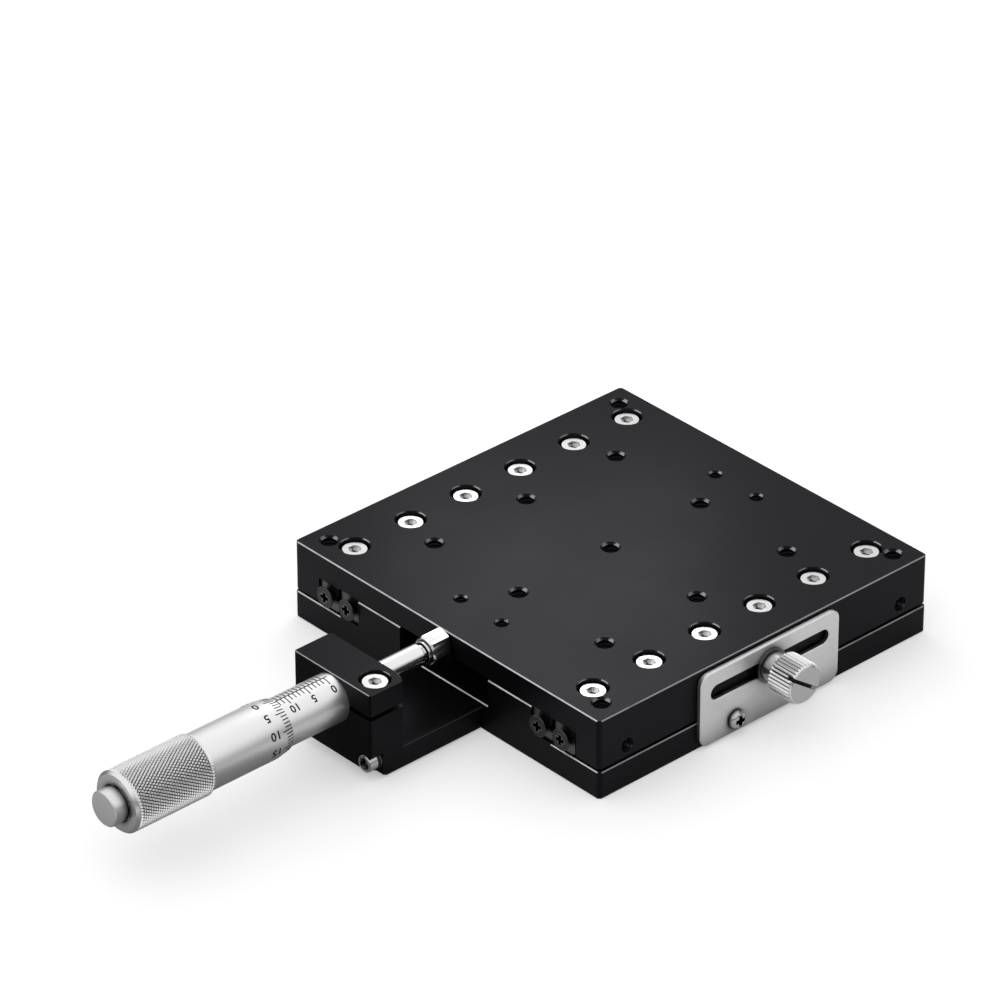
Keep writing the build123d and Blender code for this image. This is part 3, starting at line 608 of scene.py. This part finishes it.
def swept_wire(points, radius):
    """A round wire along a list of points, closed at both ends."""
    sides = 8
    vertices, faces = [], []
    normal = None
    for i, point in enumerate(points):
        ahead = points[min(i + 1, len(points) - 1)]
        behind = points[max(i - 1, 0)]
        tangent = (ahead - behind).normalized()
        if normal is None:
            normal = tangent.orthogonal().normalized()
        normal = (normal - tangent * normal.dot(tangent)).normalized()
        binormal = tangent.cross(normal)
        for k in range(sides):
            angle = 2 * pi * k / sides
            vertices.append(point + (normal * cos(angle) + binormal * sin(angle)) * radius)
    for i in range(len(points) - 1):
        for k in range(sides):
            a, b = i * sides + k, i * sides + (k + 1) % sides
            faces.append((a, b, b + sides, a + sides))
    faces.append(tuple(range(sides)))
    last = (len(points) - 1) * sides
    faces.append(tuple(last + k for k in reversed(range(sides))))
    return vertices, faces


spring_low, spring_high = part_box("return_springs")
spring_z = (spring_low.z + spring_high.z) / 2
wire_radius = 0.25 * mm
coil_radius = 1.82 * mm
coil_turns = 46
hook_radius = 1.2 * mm
hook_length = 2.9 * mm
base_post_x, table_post_x = -36 * mm, 27 * mm


def spring_path(y):
    """The wire's line: a loop round the base post, the coil, a loop round the table post."""
    hook_sweep, hook_steps, steps = 280, 20, 18
    coil_start, coil_end = base_post_x + hook_length, table_post_x - hook_length
    turned = [radians(hook_sweep * k / hook_steps) for k in range(hook_steps + 1)]
    points = []
    for angle in turned:
        points.append(Vector((base_post_x - hook_radius * cos(pi - angle), y + hook_radius * sin(pi - angle),
                              spring_z)))
    for i in range(coil_turns * steps + 1):
        angle = 2 * pi * i / steps
        x = coil_start + (coil_end - coil_start) * i / (coil_turns * steps)
        points.append(Vector((x, y + coil_radius * sin(angle), spring_z + coil_radius * cos(angle))))
    for angle in turned:
        points.append(Vector((table_post_x + hook_radius * cos(angle - pi), y + hook_radius * sin(angle - pi),
                              spring_z)))
    return points


coils = [swept_wire(spring_path(y * mm), wire_radius) for y in (-8, 8)]
return_springs = mesh_piece("return_spring_coils", *joined(coils), spring_wire, smooth=True)
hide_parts("return_springs")
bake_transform(return_springs)


# Clamp bracket
# An arm bolted to the base's end with a slit block that clamps the micrometer's
# stem. Milled aluminium, anodised with the plates; its screws are bright nickel,
# on black spring and plain washers.

dress("bracket", black_anodised("bracket_black_anodised", (0.0026, 0.0026, 0.0030), 0.40, 0.7, 0.06))
# Painted shade in the sockets and round the heads where they sit in the pockets.
dress("bracket_screws", turned_metal("bright_nickel_foot_screw", (0.62, 0.62, 0.61), 0.24,
                                     recess_reach=1.6 * mm, joint_reach=0.8 * mm))
dress("bracket_spring_washers", screw_oxide)
dress("bracket_plain_washers", screw_oxide)
dress("clamp_screw", screw_nickel)


# Micrometer body, sleeve and nut
# The stem and the graduated sleeve over it, hard steel with satin chrome that
# keeps glare off the scale: 25 mm in half millimetres, filled with black. The
# nut that takes up the thread's play is turned brass.

axis_z = 15 * mm
head_axis = (0, 0, axis_z)
dress("graduated_sleeve", turned_metal("sleeve_satin_chrome", (0.95, 0.95, 0.95), 0.38, centre=head_axis))
dress("micrometer_body", turned_metal("stem_satin_chrome", (0.70, 0.70, 0.70), 0.26, centre=head_axis))
dress("adjusting_nut", turned_metal("nut_turned_brass", (0.62, 0.45, 0.18), 0.26, centre=head_axis))

scale_black, tree, fill = new_material("scale_black_fill")
fill_film = use_group(tree, blasted_film, Depth=1e-6)
fill_in(tree, fill, Specular_IOR_Level=0.06,
        Base_Color=mix_colour(tree, fill_film["Patches"], (0.010, 0.010, 0.011), (0.022, 0.022, 0.024)),
        Roughness=math_node(tree, "MULTIPLY_ADD", fill_film["Grain"], 0.2, 0.65))


def on_barrel(x, angle, radius):
    """A point on the micrometer's round, with angle 0 on top and positive towards the near side."""
    return Vector((x, -radius * sin(angle), axis_z + radius * cos(angle)))


fill_proud, fill_sunk = 0.012 * mm, 0.03 * mm


def barrel_mark(x_from, x_to, angle_from, angle_to, radius_at):
    """A filled line that lies on the round between two places along it and two angles."""
    around = max(1, int(abs(angle_to - angle_from) / radians(3)))
    vertices, faces = [], []
    for i in range(around + 1):
        angle = angle_from + (angle_to - angle_from) * i / around
        for x in (x_from, x_to):
            r = radius_at(x)
            vertices += [on_barrel(x, angle, r + fill_proud), on_barrel(x, angle, r - fill_sunk)]
    for i in range(around):
        a, b = 4 * i, 4 * i + 4
        faces += [(a, a + 2, b + 2, b), (a + 1, b + 1, b + 3, a + 3), (a, b, b + 1, a + 1),
                  (a + 2, a + 3, b + 3, b + 2)]
    end = 4 * around
    faces += [(0, 1, 3, 2), (end, end + 2, end + 3, end + 1)]
    return vertices, faces


def digits_on_barrel(text, x_centre, angle_centre, radius, height):
    """Plain digits wrapped on the round, read towards -X with their tops away from the datum."""
    digit_share, digit_gap, stroke_gain = 0.70, 1.08, 0.05 * mm
    rows, weld = 10, 0.002 * mm
    curve = bpy.data.curves.new("digit_outline", "FONT")
    curve.body = text
    curve.size = height / digit_share
    curve.space_character = digit_gap
    curve.resolution_u = 6
    curve.offset = stroke_gain
    outline = bpy.data.objects.new("digit_outline", curve)
    scene.collection.objects.link(outline)
    bpy.context.view_layer.update()
    flat = bpy.data.meshes.new_from_object(outline)
    bpy.data.objects.remove(outline)
    bpy.data.curves.remove(curve)
    build = bmesh.new()
    build.from_mesh(flat)
    bpy.data.meshes.remove(flat)
    low = Vector((min(v.co.x for v in build.verts), min(v.co.y for v in build.verts), 0))
    high = Vector((max(v.co.x for v in build.verts), max(v.co.y for v in build.verts), 0))
    middle = (low + high) / 2

    # A thickened outline can fold over itself in a corner, which leaves a sliver too many there.
    bmesh.ops.remove_doubles(build, verts=build.verts, dist=weld)
    folded = {min(edge.link_faces, key=lambda face: face.calc_area())
              for edge in build.edges if len(edge.link_faces) > 2}
    bmesh.ops.delete(build, geom=list(folded), context="FACES")

    # Cut into rows, the flat digit follows the round when it is wrapped.
    for k in range(1, rows):
        level = low.y + (high.y - low.y) * k / rows
        bmesh.ops.bisect_plane(build, geom=build.verts[:] + build.edges[:] + build.faces[:],
                               plane_co=(0, level, 0), plane_no=(0, 1, 0))
    bmesh.ops.remove_doubles(build, verts=build.verts, dist=weld)
    build.verts.index_update()
    count = len(build.verts)
    vertices, faces = [], []
    for r in (radius - fill_sunk, radius + fill_proud):
        for v in build.verts:
            angle = angle_centre + (v.co.y - middle.y) / radius
            vertices.append(on_barrel(x_centre - (v.co.x - middle.x), angle, r))
    for face in build.faces:
        corners = [v.index for v in face.verts]
        faces += [tuple(corners), tuple(count + k for k in corners)]
    for edge in build.edges:
        if edge.is_boundary:
            a, b = (v.index for v in edge.verts)
            faces.append((a, b, count + b, count + a))
    build.free()
    return vertices, faces


sleeve_radius = 5.125 * mm
scale_zero, scale_pitch = -76 * mm, 0.5 * mm
datum = radians(-3)
line_width = 0.23 * mm
line_angle = line_width / 2 / sleeve_radius


def on_sleeve(x):
    """The sleeve's radius, which is the same all along it."""
    return sleeve_radius


# The datum line, and a line each half millimetre: whole ones below it, longer at each fifth.
sleeve_marks = [barrel_mark(scale_zero + 0.9 * mm, scale_zero - 25.6 * mm,
                            datum - line_angle, datum + line_angle, on_sleeve)]
for half_step in range(51):
    x = scale_zero - half_step * scale_pitch
    if half_step % 2:
        start, reach = -line_angle, radians(-21)
    else:
        start, reach = line_angle, radians(24 if half_step % 10 == 0 else 17)
    sleeve_marks.append(barrel_mark(x - line_width / 2, x + line_width / 2,
                                    datum + start, datum + reach, on_sleeve))
sleeve_scale = mesh_piece("sleeve_graduations", *joined(sleeve_marks), scale_black)
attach(sleeve_scale, "base")

sleeve_digits = [digits_on_barrel(str(n), scale_zero - n * mm, datum + radians(38), sleeve_radius, 1.55 * mm)
                 for n in (0, 5, 10, 15, 20, 25)]
sleeve_numbers = mesh_piece("sleeve_numbers", *joined(sleeve_digits), scale_black)
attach(sleeve_numbers, "base")


# Spindle and thimble
# The ground spindle with its lapped tip, and the thimble that turns it: satin
# chrome, bevelled edge with fifty lines, a rolled diamond knurl and a pressed-on
# cap.

dress("spindle", turned_metal("spindle_ground_steel", (0.95, 0.95, 0.95), 0.16, centre=head_axis, depth=6e-7))
# Painted shade: the cap is darker near the thimble's end face.
dress("thimble_cap", turned_metal("cap_satin_chrome", (0.90, 0.90, 0.90), 0.34, centre=head_axis,
                                  joint_reach=2.6 * mm, contrast=3.0, half_dark=0.74))
satin_thimble = turned_metal("thimble_satin_chrome", (0.95, 0.95, 0.95), 0.38, centre=head_axis)
# Painted shade: the knurl's grooves are darkened to black dots where they cross.
rolled_knurl = turned_metal("knurl_bright_chrome", (0.98, 0.98, 0.98), 0.24, centre=head_axis,
                            recess_reach=0.27 * mm, contrast=8.0, half_dark=0.46)
# Painted shade: the end face is darker round the cap.
thimble_end_face = turned_metal("thimble_end_satin_chrome", (0.93, 0.93, 0.93), 0.24, centre=head_axis,
                                joint_reach=2.0 * mm, contrast=2.6, half_dark=0.68)

thimble_edge, bevel_end = -88.5 * mm, -91.6 * mm
edge_radius, plain_radius = 5.48 * mm, 6.0 * mm
knurl_count, knurl_pitch = 57, 1.19 * mm
knurl_top, knurl_root = 6.5 * mm, 6.08 * mm
knurl_from, knurl_to = -108.65 * mm, -127.15 * mm
ring = 2 * knurl_count

# The turned outline before and after the knurl, as places along the axis and radii in mm: the
# spindle's bore and the sleeve's, the bevel, the plain round; the knurl's shoulder, the end face
# with its groove round the cap, and the bore again.
thimble_front = [(-119.5, 2.425), (-119.5, 5.205), (-88.5, 5.205), (-88.5, 5.43), (-88.56, 5.48),
                 (-91.6, 6.0), (-100.0, 6.0), (-108.3, 6.0), (-108.4, 6.06), (-108.42, 6.16)]
thimble_back = [(-127.25, 6.44), (-127.33, 6.48), (-127.42, 6.46), (-128.0, 5.9), (-128.0, 4.02),
                (-126.8, 3.98), (-126.8, 2.425)]


def knurled_thimble():
    """The thimble as a turned shell, with pyramids between two sets of crossing grooves."""
    vertices, faces, knurl = [], [], []

    def ring_at(x, radius):
        start = len(vertices)
        for k in range(ring):
            vertices.append(on_barrel(x, 2 * pi * k / ring, radius))
        return start

    def bridge(a, b):
        for k in range(ring):
            n = (k + 1) % ring
            faces.append((a + k, a + n, b + n, b + k))

    rings = [ring_at(x * mm, r * mm) for x, r in thimble_front]
    for a, b in zip(rings, rings[1:]):
        bridge(a, b)
    rows = 2 * round((knurl_from - knurl_to) / knurl_pitch)
    step = (knurl_from - knurl_to) / rows
    first = ring_at(knurl_from, knurl_root)
    bridge(rings[-1], first)
    last = ring_at(knurl_to, knurl_root)

    grooves = {}
    for row in range(rows + 1):
        for k in range(ring):
            if row in (0, rows):
                grooves[row, k] = (first if row == 0 else last) + k
            elif (row + k) % 2 == 0:
                grooves[row, k] = len(vertices)
                vertices.append(on_barrel(knurl_from - row * step, 2 * pi * k / ring, knurl_root))
    flat_share = 0.30
    for row in range(1, rows):
        for k in range(ring):
            if (row + k) % 2 == 0:
                continue
            x, angle = knurl_from - row * step, 2 * pi * k / ring
            around = [(row - 1, k), (row, (k + 1) % ring), (row + 1, k), (row, (k - 1) % ring)]
            shifts = [(step, 0), (0, 2 * pi / ring), (-step, 0), (0, -2 * pi / ring)]
            crest = []
            for dx, da in shifts:
                crest.append(len(vertices))
                vertices.append(on_barrel(x + flat_share * dx, angle + flat_share * da, knurl_top))
            knurl.append(tuple(crest))
            for j in range(4):
                n = (j + 1) % 4
                knurl.append((grooves[around[j]], grooves[around[n]], crest[n], crest[j]))
    for row, inner_row in ((0, 1), (rows, rows - 1)):
        for k in range(ring):
            if (inner_row + k) % 2 == 0:
                for beside in ((k - 1) % ring, (k + 1) % ring):
                    knurl.append((grooves[row, k], grooves[row, beside], grooves[inner_row, k]))

    previous = last
    for x, r in thimble_back:
        current = ring_at(x * mm, r * mm)
        bridge(previous, current)
        previous = current
    bridge(previous, rings[0])
    return vertices, faces, knurl


vertices, turned_faces, knurl_faces = knurled_thimble()
thimble_shell = mesh_piece("knurled_thimble", vertices, turned_faces + knurl_faces, satin_thimble,
                           smooth=True)
thimble_shell.data.materials.append(rolled_knurl)
thimble_shell.data.materials.append(thimble_end_face)
for polygon in thimble_shell.data.polygons:
    if polygon.index >= len(turned_faces):
        polygon.use_smooth = False
        polygon.material_index = 1
    elif polygon.center.x < knurl_to - 0.2 * mm:
        polygon.material_index = 2
thimble_shell.data.set_sharp_from_angle(angle=radians(28))
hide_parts("thimble")
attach(thimble_shell, "thimble")


def on_bevel(x):
    """The thimble's radius on its bevel, and on the plain round behind it."""
    share = min(1.0, (thimble_edge - x) / (thimble_edge - bevel_end))
    return edge_radius + (plain_radius - edge_radius) * share


divisions = 50
digits_x = -93.15 * mm
half_width = line_width / 2 / plain_radius
thimble_marks = []
for division in range(divisions):
    angle = datum + 2 * pi * division / divisions
    length = (2.6 if division % 5 == 0 else 1.7) * mm
    thimble_marks.append(barrel_mark(thimble_edge - 0.06 * mm, thimble_edge - length, angle - half_width,
                                     angle + half_width, on_bevel))
thimble_scale = mesh_piece("thimble_graduations", *joined(thimble_marks), scale_black)
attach(thimble_scale, "thimble")

thimble_digits = [digits_on_barrel(str(n), digits_x, datum + 2 * pi * n / divisions, plain_radius, 1.7 * mm)
                  for n in range(0, divisions, 5)]
thimble_numbers = mesh_piece("thimble_numbers", *joined(thimble_digits), scale_black)
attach(thimble_numbers, "thimble")


# Anvil
# A polished hexagonal stud screwed into the table's end, with a lapped nose that
# the spindle pushes.

# Painted shade: the stud is darker on its lower side, near the black parts below it.
anvil_steel = turned_metal("anvil_polished_steel", (0.96, 0.96, 0.96), 0.16, centre=head_axis, depth=2e-8,
                           joint_reach=5.5 * mm, contrast=2.6, half_dark=0.72)
hex_flat, hex_turn = 2.75 * mm, radians(-20)


def hexagon_radius(angle):
    """The distance from the axis to the hexagon's side, at an angle round it."""
    return hex_flat / cos((angle - hex_turn) % radians(60) - radians(30))


def anvil_outline():
    """The stud as rings of points, from its end in the table to its nose."""
    turns = [hex_turn + radians(5) * k for k in range(72)]
    thread = [(-39.4, 1.2), (-39.7, 1.5), (-45.0, 1.5)]
    hexagon = [(-45.0, 3.05), (-45.25, 3.3), (-49.65, 3.3), (-50.0, 2.72)]
    collar = [(-50.0, 2.3), (-50.55, 2.3), (-50.65, 2.2)]
    nose = [(-50.65, 1.8), (-51.5, 1.8), (-51.6, 1.7)]
    shape = thread + hexagon + collar + nose
    vertices, faces = [], []
    for x, r in shape:
        for angle in turns:
            radius = min(r * mm, hexagon_radius(angle)) if (x, r) in hexagon else r * mm
            vertices.append(on_barrel(x * mm, angle, radius))
    count = len(turns)
    for i in range(len(shape) - 1):
        for k in range(count):
            a, b = i * count + k, i * count + (k + 1) % count
            faces.append((a, b, b + count, a + count))
    faces.append(tuple(range(count)))
    last = (len(shape) - 1) * count
    faces.append(tuple(last + k for k in reversed(range(count))))
    return vertices, faces


anvil = mesh_piece("anvil_stud", *anvil_outline(), anvil_steel, smooth=True)
anvil.data.set_sharp_from_angle(angle=radians(20))
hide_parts("hex_anvil")
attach(anvil, "table")


# Lock plate
# A slotted plate of rolled stainless sheet on the base's side, deburred and satin
# finished, held by two nickel plated pan-head screws.

across_stage = (0.0, 1.0, 0.0)
# Painted shade: the plate is darker round the thumb screw, as where it mirrors the knob.
dress("lock_plate", ground_metal("plate_satin_stainless", (0.88, 0.88, 0.88), 0.44, (500.0, 500.0, 500.0),
                                 1e-6, joint_reach=9 * mm))
# Painted shade: a dark ring round each head's foot and a black cross recess.
dress("lock_plate_screws", turned_metal("pan_screw_nickel", (0.60, 0.60, 0.60), 0.14, across_stage,
                                        recess_reach=1.4 * mm, joint_reach=2.6 * mm,
                                        contrast=3.0, half_dark=0.80))


# Thumb screw
# The lock screw with its straight-knurled head and driver slot, turned from
# nickel plated steel, and its washer. Tightening it on the slotted plate holds
# the table.

knob_centre = (0.0, -0.05, 12.05 * mm)
# Painted shade darkens the grooves between the head's ribs.
thumb_nickel = turned_metal("thumb_screw_nickel", (0.88, 0.88, 0.88), 0.26, across_stage, knob_centre,
                            depth=5e-7, recess_reach=0.36 * mm, contrast=4.0, half_dark=0.74)


def darken_face_and_slot(material):
    """Paints the head's turned face darker, and paints shade black into the slot across it and the root of
    its neck.
    """
    face_radius, face_shade_share = 3.95 * mm, 0.6
    slot_half, slot_turn = 0.44 * mm, radians(36)
    tree = material.node_tree
    shader = next(node for node in tree.nodes if node.bl_idname == "ShaderNodeBsdfPrincipled")
    tone = shader.inputs["Base Color"].links[0].from_socket
    place = split(tree, surface_point(tree))
    across = math_node(tree, "SUBTRACT", place["X"], knob_centre[0])
    above = math_node(tree, "SUBTRACT", place["Z"], knob_centre[2])
    square = math_node(tree, "MULTIPLY_ADD", across, across, math_node(tree, "MULTIPLY", above, above))
    inside = math_node(tree, "LESS_THAN", square, face_radius * face_radius)
    # Painted shade: the face inside its rim is greyer.
    shaded_face = mix_colour(tree, math_node(tree, "MULTIPLY", inside, face_shade_share), tone, (0.3, 0.3, 0.3))
    off_line = math_node(tree, "MULTIPLY_ADD", across, sin(slot_turn),
                         math_node(tree, "MULTIPLY", above, cos(slot_turn)))
    in_slot = math_node(tree, "LESS_THAN", math_node(tree, "ABSOLUTE", off_line), slot_half)
    hidden = use_group(tree, dark_joints, Reach=2.2 * mm, Contrast=3.0, Half_dark_at=0.72)
    black = math_node(tree, "MULTIPLY", hidden["Mask"], math_node(tree, "MAXIMUM", inside, in_slot))
    fill_in(tree, shader, Base_Color=mix_colour(tree, black, shaded_face, (0.012, 0.012, 0.012)))


darken_face_and_slot(thumb_nickel)
dress("lock_screw", thumb_nickel)
# Painted shade: the washer under the head is made dark grey.
dress("lock_washer", turned_metal("washer_nickel", (0.16, 0.16, 0.16), 0.3, across_stage, knob_centre))
